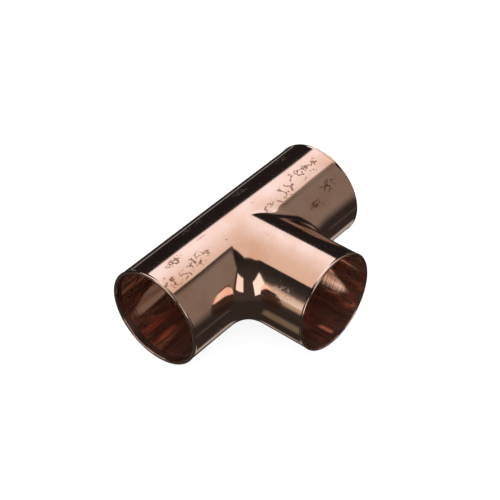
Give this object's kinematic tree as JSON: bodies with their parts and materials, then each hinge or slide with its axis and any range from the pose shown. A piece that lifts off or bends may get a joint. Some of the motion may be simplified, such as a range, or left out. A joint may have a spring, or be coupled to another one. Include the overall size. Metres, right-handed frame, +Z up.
{
  "type": "tee fitting",
  "caption": "Equal pipe tee in polished copper: a straight run and a side branch of the same bore, with plain solder sockets, tube stops and turned-out mouths.",
  "frame": {"origin": "under the centre of the fitting's box, level with the lowest point of the run's mouths, so that the tee lies flat on z = 0", "axes": "+X along the run, -Y out of the branch mouth, +Z up; all three tube axes lie at z = 15.3 mm, and the run's axis is at y = +9.8 mm"},
  "size_m": [0.0724, 0.0502, 0.0306],
  "materials": {
    "copper_body": "bright polished copper outside, with light handling marks; duller red-brown copper inside",
    "copper_socket": "bright polished copper outside and on the rounded lip; sized bore with fine rings and streaks inside"
  },
  "bodies": {
    "root": {"tee_body": "copper_body", "run_socket_left": "copper_socket", "run_socket_right": "copper_socket", "branch_socket": "copper_socket"}
  },
  "joints": []
}
